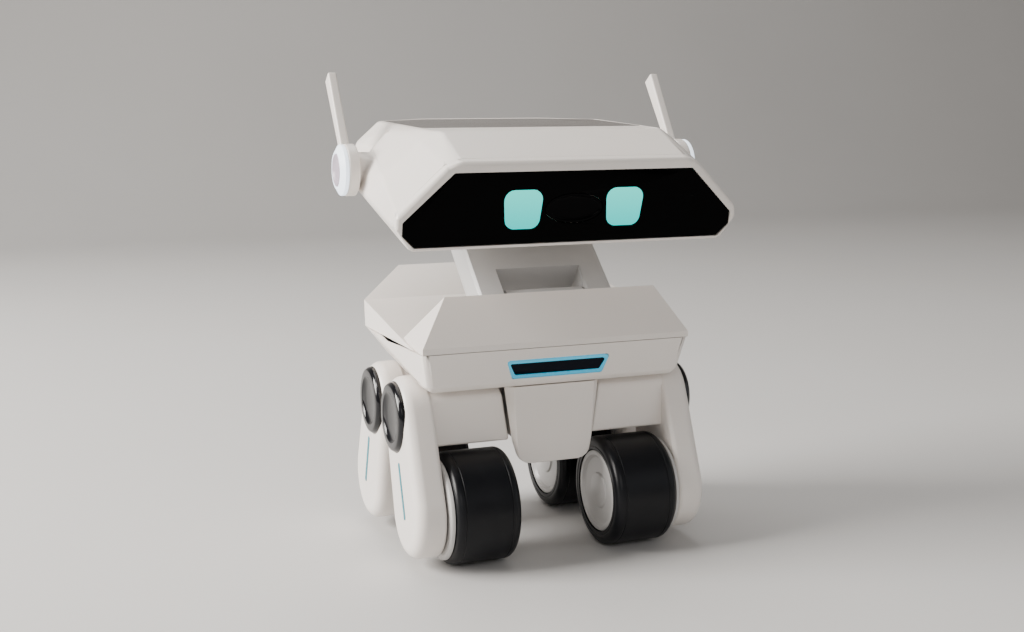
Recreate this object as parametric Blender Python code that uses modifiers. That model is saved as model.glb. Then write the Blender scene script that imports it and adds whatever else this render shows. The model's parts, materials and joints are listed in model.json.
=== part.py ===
"""Educational coding robot: a visored head on a folding neck, a faceted body and four legs on wheels.

Sizes below are in millimetres and MM turns them into metres. The robot faces -Y, +Z is up, X = 0 is its
plane of symmetry, and the origin is on the ground under the middle of the four wheels. "left" and "right"
are the robot's own, so left is +X.
"""

import math

import bmesh
import bpy
from mathutils import Matrix, Vector

MM = 0.001
GAP = 0.3
SIDES = {"left": 1, "right": -1}
ENDS = {"front": -1, "rear": 1}

# Wheels: width, radius and where the axles are.
WHEEL_RADIUS = 27.0
TYRE_INNER_X = 24.5
TYRE_OUTER_X = 56.8
TYRE_BORE = 20.5
AXLE_Y = 35.0
AXLE_RADIUS = 3.0

# Legs: a rounded outer plate and an arm that reaches in to the chassis, turning on a hip shaft.
HIP_Y = 20.0
HIP_Z = 70.0
SHOULDER_RADIUS = 19.4
FOOT_RADIUS = 22.3
LEG_INNER_X = 60.0
LEG_OUTER_X = 74.6
LEG_OUTER_ROUND = 5.6
LEG_INNER_ROUND = 2.2
ARM_FRONT = 16.0
ARM_REAR = -14.6
ARM_FLOOR_Z = 57.4
ARM_INNER_LOW_X = 21.6
ARM_INNER_HIGH_X = 25.6
ARM_WALL = 2.4
HIP_CAP_RADIUS = 16.8
HIP_CAP_BASE_X = 70.4
HIP_CAP_FACE_X = 76.7
HIP_SHAFT_RADIUS = 3.0
LIGHT_STRIP = (2.6, 27.0, 1.6)

# Chassis and the chin in front of it.
CHASSIS_HALF = 20.2
CHASSIS_FLOOR_Z = 58.0
CHIN_FRONT_Y = -41.0
CHIN_BACK_Y = -36.9
CHIN_FLOOR_Z = 46.0

# Body: a lower tray and an upper shell that meet at a level seam.
WALL = 2.6
SEAM_Z = 103.9
BODY_REAR_Y = 69.2
BODY_FRONT_Y = -47.9
LOWER_FRONT_Y = -43.3
LOWER_FRONT_Z = 84.6
LOWER_REAR_Z = 88.0
HOOD_HALF = 54.0
HOOD_Y = -37.5
HOOD_Z = 129.0
DECK_CREASE_Y = 45.0
DECK_CREASE_Z = 117.8
DECK_SLOPE = 0.175
REAR_RIDGE = (46.0, 66.5, 132.3)
ARCH_RADIUS = SHOULDER_RADIUS + 1.4
ARCH_WALL = 2.0
NECK_FLOOR_Z = 106.6
MOUTH_TOP = (26.4, 98.1)
MOUTH_BOTTOM = (23.0, 89.3)
MOUTH_BORDER = 1.4

# Neck: a flat slab between two hinges.
NECK_BASE = (-26.0, 122.0)
NECK_HEAD = (30.0, 171.3)
NECK_RADIUS = 8.2
NECK_HALF = 34.6
NECK_NOTCH_HALF = 20.6
PIN_RADIUS = 2.5

# Head: the visor leans, its plane is y = VISOR_Y - VISOR_LEAN * (z - VISOR_Z).
VISOR_Y = -64.5
VISOR_Z = 170.0
VISOR_LEAN = 0.21
VISOR_OUTLINE = ((58.0, 187.4), (80.9, 166.6), (80.9, 160.4), (75.2, 154.9))
BEZEL_DEPTH = 4.2
FLOOR_RISE = 0.21
HEAD_FLOOR_Z = 153.0
HEAD_FLOOR_Y = -61.0
ROOF_RISE = 0.045
ROOF_FRONT = (55.5, -40.4, 205.4)
HEAD_STEP_Y = 11.0
PANEL_OUTLINE = ((57.2, -17.5), (58.2, 44.5), (33.0, 57.5))
PANEL_DEPTH = 1.8
EYE_X = 25.0
EYE_Z = 170.3
EYE_HEIGHT = 17.6
EYE_TOP_WIDTH = 19.2
EYE_BOTTOM_WIDTH = 16.0
CAMERA_WIDTH = 28.4
CAMERA_HEIGHT = 13.6

# Ears: drums that turn about the X axis, each with a light ring and an antenna.
EAR_Y = 3.6
EAR_Z = 186.7
EAR_RADIUS = 12.4
EAR_INNER_X = 84.9
EAR_FACE_X = 91.4
EAR_TIP_X = 94.2
ANTENNA_X = 88.0
ANTENNA_LEAN = math.radians(34.9)
ANTENNA_LENGTH = 54.2
ANTENNA_THICK = 4.4

WHITE = ("warm_white_shell", (0.72, 0.69, 0.65), 0.38, 0.0)
GREY = ("neck_grey", (0.34, 0.34, 0.34), 0.45, 0.0)
BLACK_GLOSS = ("gloss_black", (0.006, 0.007, 0.010), 0.08, 0.0)
CAP_BLACK = ("cap_black", (0.008, 0.010, 0.018), 0.15, 0.0)
RUBBER = ("tyre_rubber", (0.012, 0.013, 0.016), 0.55, 0.0)
DARK_PLASTIC = ("dark_plastic", (0.035, 0.036, 0.040), 0.45, 0.0)
RIM_GREY = ("rim_grey", (0.42, 0.42, 0.42), 0.35, 0.0)
STEEL = ("steel", (0.55, 0.55, 0.56), 0.28, 1.0)
CYAN = ("cyan_light", (0.06, 0.85, 0.80), 0.3, 0.0)
TEAL = ("teal_strip", (0.10, 0.42, 0.48), 0.3, 0.0)
RING_WHITE = ("ring_light", (0.85, 0.92, 1.0), 0.3, 0.0)
LAVENDER = ("ear_cap_lavender", (0.52, 0.45, 0.52), 0.4, 0.0)
PANEL = ("smoked_panel", (0.06, 0.05, 0.045), 0.12, 0.0)
BOARD = ("circuit_board", (0.02, 0.13, 0.07), 0.5, 0.0)
BATTERY = ("battery_wrap", (0.05, 0.12, 0.35), 0.4, 0.0)


def clear_scene():
    for obj in list(bpy.data.objects):
        bpy.data.objects.remove(obj, do_unlink=True)


def make_collection(name):
    collection = bpy.data.collections.new(name)
    bpy.context.scene.collection.children.link(collection)
    return collection


def material_of(spec):
    name, colour, roughness, metallic = spec
    material = bpy.data.materials.get(name)
    if material is None:
        material = bpy.data.materials.new(name)
        material.use_nodes = True
        shader = material.node_tree.nodes["Principled BSDF"]
        shader.inputs["Base Color"].default_value = (*colour, 1.0)
        shader.inputs["Roughness"].default_value = roughness
        shader.inputs["Metallic"].default_value = metallic
    return material


def object_from(name, bm):
    """An object in the work collection, from a bmesh in millimetres."""
    bmesh.ops.scale(bm, vec=(MM, MM, MM), verts=bm.verts)
    bmesh.ops.recalc_face_normals(bm, faces=bm.faces)
    mesh = bpy.data.meshes.new(name)
    bm.to_mesh(mesh)
    bm.free()
    obj = bpy.data.objects.new(name, mesh)
    WORK.objects.link(obj)
    return obj


def mirrored(points):
    return [Vector(p) for p in points] + [Vector((-p[0], p[1], p[2])) for p in points]


def hull_mesh(points):
    bm = bmesh.new()
    for point in points:
        bm.verts.new(point)
    bmesh.ops.remove_doubles(bm, verts=bm.verts, dist=0.01)
    found = bmesh.ops.convex_hull(bm, input=bm.verts)
    loose = set(found["geom_interior"]) | set(found["geom_unused"])
    bmesh.ops.delete(bm, geom=[v for v in loose if isinstance(v, bmesh.types.BMVert)], context="VERTS")
    bmesh.ops.dissolve_limit(bm, angle_limit=math.radians(0.6), verts=bm.verts, edges=bm.edges)
    bmesh.ops.recalc_face_normals(bm, faces=bm.faces)
    return bm


def hull(name, points):
    """The convex solid around some corner points."""
    return object_from(name, hull_mesh(points))


def inset_hull(name, points, wall):
    """The same convex solid with every face moved in by the wall thickness."""
    bm = hull_mesh(points)
    planes = [(face.calc_center_median(), face.normal.copy()) for face in bm.faces]
    for centre, normal in planes:
        everything = bm.verts[:] + bm.edges[:] + bm.faces[:]
        cut = bmesh.ops.bisect_plane(
            bm,
            geom=everything,
            dist=0.0001,
            plane_co=centre - normal * wall,
            plane_no=normal,
            clear_outer=True,
        )
        rim = [e for e in cut["geom_cut"] if isinstance(e, bmesh.types.BMEdge)]
        bmesh.ops.contextual_create(bm, geom=rim)
    bmesh.ops.remove_doubles(bm, verts=bm.verts, dist=0.01)
    return object_from(name, bm)


def block(name, low, high):
    """A box between two corners."""
    low = Vector(low)
    high = Vector(high)
    bm = bmesh.new()
    bmesh.ops.create_cube(bm, size=1.0)
    bmesh.ops.scale(bm, vec=high - low, verts=bm.verts)
    bmesh.ops.translate(bm, vec=(low + high) / 2, verts=bm.verts)
    return object_from(name, bm)


def rod(name, centre, axis, radius, length, segments=24):
    """A cylinder about its centre."""
    bm = bmesh.new()
    bmesh.ops.create_cone(
        bm, cap_ends=True, segments=segments, radius1=radius, radius2=radius, depth=length
    )
    turn = Vector((0, 0, 1)).rotation_difference(Vector(axis)).to_matrix()
    bmesh.ops.rotate(bm, cent=(0, 0, 0), matrix=turn, verts=bm.verts)
    bmesh.ops.translate(bm, vec=centre, verts=bm.verts)
    return object_from(name, bm)


def turned(name, profile, y, z, side, steps=32):
    """A profile of (radius, |x|) pairs turned about the X-parallel axis at y, z, on one side of the robot.

    The profile runs from its outermost |x| down its outer side to its innermost |x|.
    """
    mesh = bpy.data.meshes.new(name)
    points = [(radius * MM, 0.0, height * MM) for radius, height in profile]
    edges = [(i, i + 1) for i in range(len(points) - 1)]
    if profile[0][0] > 0:
        edges.append((len(points) - 1, 0))
    mesh.from_pydata(points, edges, [])
    obj = bpy.data.objects.new(name, mesh)
    WORK.objects.link(obj)
    screw = obj.modifiers.new("turn", "SCREW")
    screw.steps = steps
    screw.render_steps = steps
    screw.use_merge_vertices = True
    screw.merge_threshold = 0.00001
    bake(obj)
    aim = Matrix.Rotation(side * math.pi / 2, 4, "Y")
    obj.data.transform(Matrix.Translation(Vector((0, y, z)) * MM) @ aim)
    return obj


def bake(obj):
    """Applies the modifiers, and closes the mesh's hairline doubles."""
    bpy.context.view_layer.update()
    graph = bpy.context.evaluated_depsgraph_get()
    mesh = bpy.data.meshes.new_from_object(obj.evaluated_get(graph))
    old = obj.data
    obj.modifiers.clear()
    obj.data = mesh
    bpy.data.meshes.remove(old)
    return obj


def tidy(obj):
    """Merges coplanar faces and removes slivers after a Boolean."""
    bm = bmesh.new()
    bm.from_mesh(obj.data)
    bmesh.ops.remove_doubles(bm, verts=bm.verts, dist=0.000002)
    bmesh.ops.dissolve_degenerate(bm, edges=bm.edges, dist=0.000001)
    bm.to_mesh(obj.data)
    bm.free()


def flatten(obj, angle):
    """Joins neighbouring faces that lie in nearly one plane."""
    bm = bmesh.new()
    bm.from_mesh(obj.data)
    bmesh.ops.dissolve_limit(bm, angle_limit=math.radians(angle), verts=bm.verts, edges=bm.edges)
    bm.to_mesh(obj.data)
    bm.free()


def combine(obj, other, operation, keep=False):
    modifier = obj.modifiers.new(operation.lower(), "BOOLEAN")
    modifier.operation = operation
    modifier.object = other
    bake(obj)
    tidy(obj)
    if not keep:
        bpy.data.objects.remove(other, do_unlink=True)
    return obj


def cut(obj, other, keep=False):
    return combine(obj, other, "DIFFERENCE", keep)


def join(obj, other, keep=False):
    return combine(obj, other, "UNION", keep)


def common(obj, other, keep=False):
    return combine(obj, other, "INTERSECT", keep)


def rounded(obj, width, segments=2, angle=18.0):
    modifier = obj.modifiers.new("edges", "BEVEL")
    modifier.width = width * MM
    modifier.segments = segments
    modifier.limit_method = "ANGLE"
    modifier.angle_limit = math.radians(angle)
    return bake(obj)


def copy_of(obj, name):
    twin = bpy.data.objects.new(name, obj.data.copy())
    WORK.objects.link(twin)
    return twin


def mirror_of(obj, name):
    """The piece for the robot's other side."""
    twin = copy_of(obj, name)
    twin.data.transform(Matrix.Scale(-1, 4, (1, 0, 0)))
    twin.data.flip_normals()
    return twin


def finish(obj, spec, joint, pivot, smooth=35.0):
    """Names the material, puts the origin on the joint's axis and hangs the piece on its empty."""
    obj.data.materials.clear()
    obj.data.materials.append(material_of(spec))
    obj.data.shade_smooth()
    obj.data.set_sharp_from_angle(angle=math.radians(smooth))
    origin = Vector(pivot) * MM
    obj.data.transform(Matrix.Translation(-origin))
    WORK.objects.unlink(obj)
    ROBOT.objects.link(obj)
    empty = joint_empty(joint, origin)
    obj.parent = empty
    obj.location = origin - empty.location
    return obj


def joint_empty(name, origin):
    empty = bpy.data.objects.get(name)
    if empty is None:
        empty = bpy.data.objects.new(name, None)
        empty.empty_display_size = 0.01
        empty.location = origin
        ROBOT.objects.link(empty)
    return empty


def filleted(outline, radius, steps=3):
    """A convex outline with an arc at each corner."""
    result = []
    count = len(outline)
    for i in range(count):
        corner = Vector(outline[i])
        before = (Vector(outline[i - 1]) - corner).normalized()
        after = (Vector(outline[(i + 1) % count]) - corner).normalized()
        half = before.angle(after) / 2
        reach = radius / math.tan(half)
        centre = corner + (before + after).normalized() * (radius / math.sin(half))
        start = (corner + before * reach - centre).normalized()
        end = (corner + after * reach - centre).normalized()
        for k in range(steps + 1):
            result.append(centre + start.slerp(end, k / steps) * radius)
    return result


# ---------------------------------------------------------------------------------------------- wheels and legs


def leg_line(end):
    """The hip's and the axle's (y, z) of one leg."""
    return (end * HIP_Y, HIP_Z), (end * AXLE_Y, WHEEL_RADIUS)


def circle(centre, radius, count=24):
    """Points of a circle in a plane of constant X, as (y, z)."""
    turns = [2 * math.pi * k / count for k in range(count)]
    return [(centre[0] + radius * math.cos(t), centre[1] + radius * math.sin(t)) for t in turns]


def leg_plate(end):
    """The outer plate: a pill from shoulder to foot, with a large round outside and a small one inside."""
    hip, axle = leg_line(end)
    points = []
    steps = 2
    for k in range(steps + 1):
        angle = math.pi / 2 * k / steps
        outer_x = LEG_OUTER_X - LEG_OUTER_ROUND * (1 - math.cos(angle))
        outer_in = LEG_OUTER_ROUND * (1 - math.sin(angle))
        inner_x = LEG_INNER_X + LEG_INNER_ROUND * (1 - math.cos(angle))
        inner_in = LEG_INNER_ROUND * (1 - math.sin(angle))
        for x, shrink in ((outer_x, outer_in), (inner_x, inner_in)):
            points += [(x, y, z) for y, z in circle(hip, SHOULDER_RADIUS - shrink)]
            points += [(x, y, z) for y, z in circle(axle, FOOT_RADIUS - shrink)]
    return hull("leg", points)


def arm_section(inset):
    """The arm's outline about the hip, as (forward of the hip, above the hip)."""
    front = ARM_FRONT - inset
    rear = ARM_REAR + inset
    floor = ARM_FLOOR_Z - HIP_Z + inset
    radius = SHOULDER_RADIUS - 0.6 - inset
    first = math.asin(-rear / radius)
    last = math.asin(front / radius)
    arc = [first * -1 + (first + last) * k / 8 for k in range(9)]
    return [(front, floor), (rear, floor)] + [
        (radius * math.sin(t), radius * math.cos(t)) for t in arc
    ]


def arm_inner_x(z):
    share = (z - ARM_FLOOR_Z) / (SEAM_Z - 20 - ARM_FLOOR_Z)
    return ARM_INNER_LOW_X + (ARM_INNER_HIGH_X - ARM_INNER_LOW_X) * share


def arm(end, inset, inner, outer_x):
    points = []
    for forward, up in arm_section(inset):
        y = end * (HIP_Y + forward)
        z = HIP_Z + up
        points += [(arm_inner_x(z) + inner, y, z), (outer_x, y, z)]
    return points


def strip_points(end, grow):
    """The light strip's box in the leg's outer face, along the leg's line."""
    hip, axle = (Vector(p) for p in leg_line(end))
    along = (axle - hip).normalized()
    across = Vector((-along.y, along.x))
    middle = hip.lerp(axle, 0.78)
    half_width = LIGHT_STRIP[0] / 2 + grow
    half_length = LIGHT_STRIP[1] / 2 + grow
    points = []
    for k in range(12):
        t = 2 * math.pi * k / 12
        tip = half_length - half_width if math.sin(t) > 0 else half_width - half_length
        spot = middle + along * (tip + half_width * math.sin(t)) + across * half_width * math.cos(t)
        points += [
            (LEG_OUTER_X - LIGHT_STRIP[2] - grow, spot.x, spot.y),
            (LEG_OUTER_X + (0.15 if grow == 0 else 1.0), spot.x, spot.y),
        ]
    return points


def make_leg_shell(end):
    hip, axle = leg_line(end)
    shell = leg_plate(end)
    bar = rounded(hull("arm", arm(end, 0.0, 0.0, LEG_INNER_X + 4)), 1.4, 2, 30)
    join(shell, bar)
    cut(shell, hull("arm_inside", arm(end, ARM_WALL, -3.0, LEG_INNER_X + 2)))
    recess_x = HIP_CAP_BASE_X - GAP
    cut(shell, turned("recess", [(0, 90), (17.1, 90), (17.1, recess_x), (0, recess_x)], *hip, 1))
    cut(shell, rod("bore", (65, *hip), (1, 0, 0), HIP_SHAFT_RADIUS + GAP, 40, 16))
    cut(shell, rod("axle_bore", (63.5, *axle), (1, 0, 0), AXLE_RADIUS + GAP, 12, 16))
    cut(shell, hull("strip_slot", strip_points(end, 0.25)))
    return shell


def make_hip_cap(end):
    """A dished cap with its shaft, one piece."""
    hip, _ = leg_line(end)
    profile = [
        (0, HIP_CAP_FACE_X - 2.0),
        (10.0, HIP_CAP_FACE_X - 1.2),
        (13.0, HIP_CAP_FACE_X),
        (15.3, HIP_CAP_FACE_X),
        (HIP_CAP_RADIUS, HIP_CAP_FACE_X - 1.5),
        (HIP_CAP_RADIUS, HIP_CAP_BASE_X),
        (HIP_SHAFT_RADIUS, HIP_CAP_BASE_X),
        (HIP_SHAFT_RADIUS, 13.0),
        (0, 13.0),
    ]
    return turned("cap", profile, *hip, 1, 28)


def make_tyre(end):
    _, axle = leg_line(end)
    shoulder = 3.6
    profile = [(TYRE_BORE, TYRE_OUTER_X), (WHEEL_RADIUS - shoulder, TYRE_OUTER_X)]
    for x, start in ((TYRE_OUTER_X - shoulder, 90), (TYRE_INNER_X + shoulder, 0)):
        for k in range(1, 3) if start == 90 else range(0, 2):
            t = math.radians(start - 45 * k)
            lift = shoulder * (1 - math.cos(t))
            profile.append((WHEEL_RADIUS - lift, x + shoulder * math.sin(t)))
    profile += [(WHEEL_RADIUS - shoulder, TYRE_INNER_X), (TYRE_BORE, TYRE_INNER_X)]
    return turned("tyre", profile, *axle, 1, 32)


def make_wheel_hub(end):
    """The rim with its flange outside the tyre, closed on the inner side, with a blind bore for the axle."""
    _, axle = leg_line(end)
    bore = AXLE_RADIUS + GAP
    profile = [
        (0, 30.0),
        (bore, 30.0),
        (bore, 59.3),
        (22.6, 59.3),
        (24.4, 58.4),
        (24.4, TYRE_OUTER_X + GAP),
        (TYRE_BORE - GAP, TYRE_OUTER_X + GAP),
        (TYRE_BORE - GAP, TYRE_INNER_X + 1.4),
        (17.5, TYRE_INNER_X + 1.0),
        (16.3, TYRE_INNER_X + 2.0),
        (0, TYRE_INNER_X + 2.0),
    ]
    return turned("hub", profile, *axle, 1, 24)


def make_wheel_axle(end):
    _, axle = leg_line(end)
    return rod("axle", (49.8, *axle), (1, 0, 0), AXLE_RADIUS, 38.8, 16)


def make_legs():
    builders = (
        ("leg_shell", make_leg_shell, WHITE, "leg"),
        ("hip_cap", make_hip_cap, CAP_BLACK, "leg"),
        ("leg_light", lambda end: hull("strip", strip_points(end, 0.0)), TEAL, "leg"),
        ("wheel_axle", make_wheel_axle, STEEL, "leg"),
        ("tyre", make_tyre, RUBBER, "wheel"),
        ("wheel_hub", make_wheel_hub, RIM_GREY, "wheel"),
    )
    for end_name, end in ENDS.items():
        hip, axle = leg_line(end)
        for stem, build, spec, body in builders:
            piece = build(end)
            twin = mirror_of(piece, "twin")
            for side_name, one in (("left", piece), ("right", twin)):
                place = f"{end_name}_{side_name}"
                one.name = f"{stem}_{place}"
                one.data.name = one.name
                y, z = hip if body == "leg" else axle
                side = SIDES[side_name]
                finish(one, spec, f"{body}_{place}", (side * LEG_INNER_X, y, z))


# ---------------------------------------------------------------------------------------------- chassis and body


def root(obj, name, spec, smooth=35.0):
    obj.name = name
    obj.data.name = name
    return finish(obj, spec, "body_frame", (0, 0, 0), smooth)


def make_chassis():
    low = (-CHASSIS_HALF, CHIN_BACK_Y + GAP, CHASSIS_FLOOR_Z)
    high = (CHASSIS_HALF, -CHIN_BACK_Y - GAP, LOWER_FRONT_Z - GAP)
    chassis = rounded(block("chassis", low, high), 1.5, 2)
    for end in ENDS.values():
        hip, _ = leg_line(end)
        cut(chassis, rod("bore", (0, *hip), (1, 0, 0), HIP_SHAFT_RADIUS + GAP, 60, 16))
    cut(chassis, block("hollow", (-17, -9.5, 61), (17, 9.5, 100)))
    for x, y in SCREW_SPOTS:
        cut(chassis, rod("screw_hole", (x, y, 60), (0, 0, 1), 2.9, 10, 16))
    return root(chassis, "chassis_spine", WHITE)


def make_chin():
    """The cover in front of the chassis: it narrows downwards and its sides flare back."""
    top = LOWER_FRONT_Z - GAP
    low = CHIN_FLOOR_Z
    back = mirrored([(24.6, CHIN_BACK_Y, top), (20.9, CHIN_BACK_Y, ARM_FLOOR_Z)])
    front = mirrored([(20.8, CHIN_FRONT_Y, top), (19.4, CHIN_FRONT_Y, ARM_FLOOR_Z)])
    corners = []
    for k in range(5):
        t = math.radians(22.5 * k)
        x = 12.4 + 6.6 * math.cos(t)
        z = low + 6.6 - 6.6 * math.sin(t)
        corners += [(x, CHIN_FRONT_Y + 0.8, z), (x, CHIN_BACK_Y, z)]
    chin = rounded(hull("chin", back + front + mirrored(corners)), 1.3, 2, 25)
    return root(chin, "chin_cover", WHITE)


def lower_corners(grow):
    """The lower shell's corners: the seam loop, raised by a share of the wall, and the floor loop."""
    seam = [
        (68.1, BODY_FRONT_Y, SEAM_Z),
        (70.3, DECK_CREASE_Y + 1.0, SEAM_Z),
        (44.6, BODY_REAR_Y, SEAM_Z),
    ]
    floor = [
        (64.4, LOWER_FRONT_Y, LOWER_FRONT_Z),
        (57.6, 46.0, LOWER_REAR_Z - 0.6),
        (37.0, 61.5, LOWER_REAR_Z),
    ]
    raised = [Vector(s) + (Vector(s) - Vector(f)) * grow for s, f in zip(seam, floor)]
    return mirrored(raised) + mirrored(floor)


def mouth_outline(grow):
    top_x, top_z = MOUTH_TOP
    low_x, low_z = MOUTH_BOTTOM
    return [
        (-top_x - grow, top_z + grow),
        (top_x + grow, top_z + grow),
        (low_x + grow * 0.8, low_z - grow),
        (-low_x - grow * 0.8, low_z - grow),
    ]


def lower_front_y(z):
    share = (z - LOWER_FRONT_Z) / (SEAM_Z - LOWER_FRONT_Z)
    return LOWER_FRONT_Y + (BODY_FRONT_Y - LOWER_FRONT_Y) * share


def mouth_solid(name, grow, proud, deep, radius):
    points = []
    for x, z in filleted(mouth_outline(grow), radius):
        points += [(x, lower_front_y(z) - proud, z), (x, lower_front_y(z) + deep, z)]
    return hull(name, points)


REAR_FACE_Y = 66.4
REAR_FACE_Z = 96.0
REAR_NORMAL = Vector((0, 1, -0.43)).normalized()
BUTTON_X = 16.0
PORT_X = -14.0
SCREW_SPOTS = [(14.5, -30.0), (-14.5, -30.0), (14.5, 30.0), (-14.5, 30.0)]


def rear_rod(name, x, radius, start, end, segments=24):
    """A cylinder square to the lower shell's rear face, from start to end outward of it."""
    middle = Vector((x, REAR_FACE_Y, REAR_FACE_Z)) + REAR_NORMAL * (start + end) / 2
    return rod(name, middle, REAR_NORMAL, radius, end - start, segments)


def port_solid(name, grow, start, end):
    """The charging port's rounded block, square to the lower shell's rear face."""
    up = Vector((1, 0, 0)).cross(REAR_NORMAL).normalized()
    points = []
    for x in (-3.0, 3.0):
        for k in range(12):
            t = 2 * math.pi * k / 12
            spot = Vector((PORT_X + x + (1.9 + grow) * math.cos(t), REAR_FACE_Y, REAR_FACE_Z))
            spot += up * (1.9 + grow) * math.sin(t)
            points += [spot + REAR_NORMAL * start, spot + REAR_NORMAL * end]
    return hull(name, points)


def make_lower_shell():
    shell = rounded(hull("lower", lower_corners(0.6)), 3.0, 3, 12)
    cut(shell, block("above", (-100, -100, SEAM_Z - GAP / 2), (100, 100, 140)))
    inside = inset_hull("inside", lower_corners(1.2), WALL)
    for end in ENDS.values():
        hip, _ = leg_line(end)
        roof = rod("arch_roof", (0, *hip), (1, 0, 0), ARCH_RADIUS + ARCH_WALL, 200, 32)
        cut(roof, block("middle", (-19, -60, 40), (19, 60, 120)))
        cut(inside, roof)
    cut(shell, inside)
    for end in ENDS.values():
        hip, _ = leg_line(end)
        for side in SIDES.values():
            middle = (side * (60 + CHASSIS_HALF), *hip)
            cut(shell, rod("arch", middle, (1, 0, 0), ARCH_RADIUS, 118, 32))
    cut(shell, mouth_solid("mouth_hole", 0.3, 6, 9, 1.2))
    cut(shell, rear_rod("button_hole", BUTTON_X, 5.3, -9, 6))
    cut(shell, port_solid("port_hole", 0.3, -9, 6))
    return root(shell, "body_lower_shell", WHITE)


def deck_z(y):
    return DECK_CREASE_Z - DECK_SLOPE * (DECK_CREASE_Y - y)


def make_upper_shell():
    low = SEAM_Z - 9
    rim = 2.9
    deck_front_y = -38.0
    deck = mirrored(
        [
            (68.3, deck_front_y, deck_z(deck_front_y)),
            (68.3, deck_front_y, low),
            (71.0, DECK_CREASE_Y, DECK_CREASE_Z),
            (70.3, DECK_CREASE_Y + 1.0, low),
        ]
    )
    ridge = mirrored(
        [
            (71.0, DECK_CREASE_Y, DECK_CREASE_Z),
            (70.3, DECK_CREASE_Y, low),
            REAR_RIDGE,
            (45.4, BODY_REAR_Y, SEAM_Z + 7),
            (44.6, BODY_REAR_Y, low),
        ]
    )
    hood = mirrored(
        [
            (HOOD_HALF, HOOD_Y, HOOD_Z),
            (68.1, BODY_FRONT_Y, SEAM_Z + rim),
            (68.1, BODY_FRONT_Y, low),
            (67.6, -16.0, deck_z(-16.0) + 0.3),
            (67.6, -16.0, low),
            (46.0, -14.0, deck_z(-14.0)),
        ]
    )
    shell = hull("upper", deck)
    join(shell, hull("rear_rise", ridge))
    nose = hull("hood", hood)
    cut(nose, block("neck_room", (-NECK_HALF - 2.4, NECK_BASE[0] - 9.4, 100), (NECK_HALF + 2.4, 20, 200)))
    join(shell, nose)
    rounded(shell, 2.2, 3, 14)
    join(shell, block("neck_floor", (-38.5, -37.5, low + 2), (38.5, -12.0, NECK_FLOOR_Z)))
    cut(shell, block("below", (-100, -100, 60), (100, 100, SEAM_Z + GAP / 2)))
    inside = mirrored(
        [
            (65.6, -20.0, low),
            (65.6, -20.0, deck_z(-20.0) - WALL),
            (67.4, DECK_CREASE_Y - 1, low),
            (67.4, DECK_CREASE_Y - 1, deck_z(DECK_CREASE_Y - 1) - WALL),
        ]
    )
    cut(shell, hull("inside_deck", inside))
    inside_rear = mirrored(
        [
            (67.2, DECK_CREASE_Y - 1.5, low),
            (67.2, DECK_CREASE_Y - 1.5, deck_z(DECK_CREASE_Y) - WALL - 0.4),
            (REAR_RIDGE[0] - 3, REAR_RIDGE[1] - 3.0, REAR_RIDGE[2] - 5.0),
            (42.4, BODY_REAR_Y - 2.8, SEAM_Z + 7),
            (42.0, BODY_REAR_Y - 2.8, low),
        ]
    )
    cut(shell, hull("inside_rear", inside_rear))
    inside_nose = inset_hull("inside_nose", hood, WALL)
    cut(inside_nose, block("middle", (-39.8, NECK_BASE[0] - 12.0, 90), (39.8, 10, 140)))
    cut(shell, inside_nose)
    return root(shell, "body_upper_shell", WHITE)


def make_mouth():
    frame = mouth_solid("mouth_light", 0.0, 0.25, 3.0, 1.6)
    cut(frame, mouth_solid("window_hole", -MOUTH_BORDER, 6, 9, 0.6))
    root(frame, "mouth_light_frame", CYAN)
    window = mouth_solid("window", -MOUTH_BORDER - GAP, -0.3, 3.4, 0.9)
    root(window, "mouth_window", BLACK_GLOSS)


def make_body_inside():
    root(rounded(block("battery", (-30, -8, 93.4), (30, 40, 103.4)), 2.0, 1), "battery_pack", BATTERY)
    root(block("board", (-30, -1, 104.5), (30, 38, 105.9)), "main_board", BOARD)
    speaker = turned("speaker", [(0, 9.6), (13, 9.6), (13, 8), (9, 3.6), (9, 0), (0, 0)], 0, 0, 1, 20)
    speaker.data.transform(Matrix.Rotation(-math.pi / 2, 4, "Y"))
    speaker.data.transform(Matrix.Translation(Vector((45.0, -24.0, 93.6)) * MM))
    root(speaker, "speaker", DARK_PLASTIC)
    servo = block("servo", (-18.6, -38.5, 90.4), (18.6, -10.0, 101.2))
    join(servo, rod("output", (22.5, -26.0, 97.0), (1, 0, 0), 3.6, 10, 16))
    root(servo, "neck_servo", DARK_PLASTIC)


def make_rear_details():
    button = rear_rod("button", BUTTON_X, 5.0, -4.2, 1.2, 28)
    rounded(button, 0.6, 2, 40)
    join(button, rear_rod("collar", BUTTON_X, 3.2, -6.0, -4.0, 20))
    button.name = "power_button"
    button.data.name = button.name
    centre = Vector((BUTTON_X, REAR_FACE_Y, REAR_FACE_Z))
    finish(button, DARK_PLASTIC, "power_button_slide", centre)
    port = port_solid("port", 0.0, -5.0, 0.15)
    up = Vector((1, 0, 0)).cross(REAR_NORMAL).normalized()
    slot = []
    for x in (-2.6, 2.6):
        for k in range(8):
            t = 2 * math.pi * k / 8
            spot = Vector((PORT_X + x + 0.9 * math.cos(t), REAR_FACE_Y, REAR_FACE_Z))
            spot += up * 0.9 * math.sin(t)
            slot += [spot + REAR_NORMAL * -3.8, spot + REAR_NORMAL * 2]
    cut(port, hull("slot", slot))
    root(port, "charging_port", STEEL)


# ---------------------------------------------------------------------------------------------- neck


def neck_direction():
    base = Vector(NECK_BASE)
    return (Vector(NECK_HEAD) - base).normalized()


def neck_point(along, above):
    """The (y, z) of a point in the neck's own frame: along it from the base hinge, and square to it."""
    direction = neck_direction()
    normal = Vector((-direction.y, direction.x))
    return Vector(NECK_BASE) + direction * along + normal * above


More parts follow.
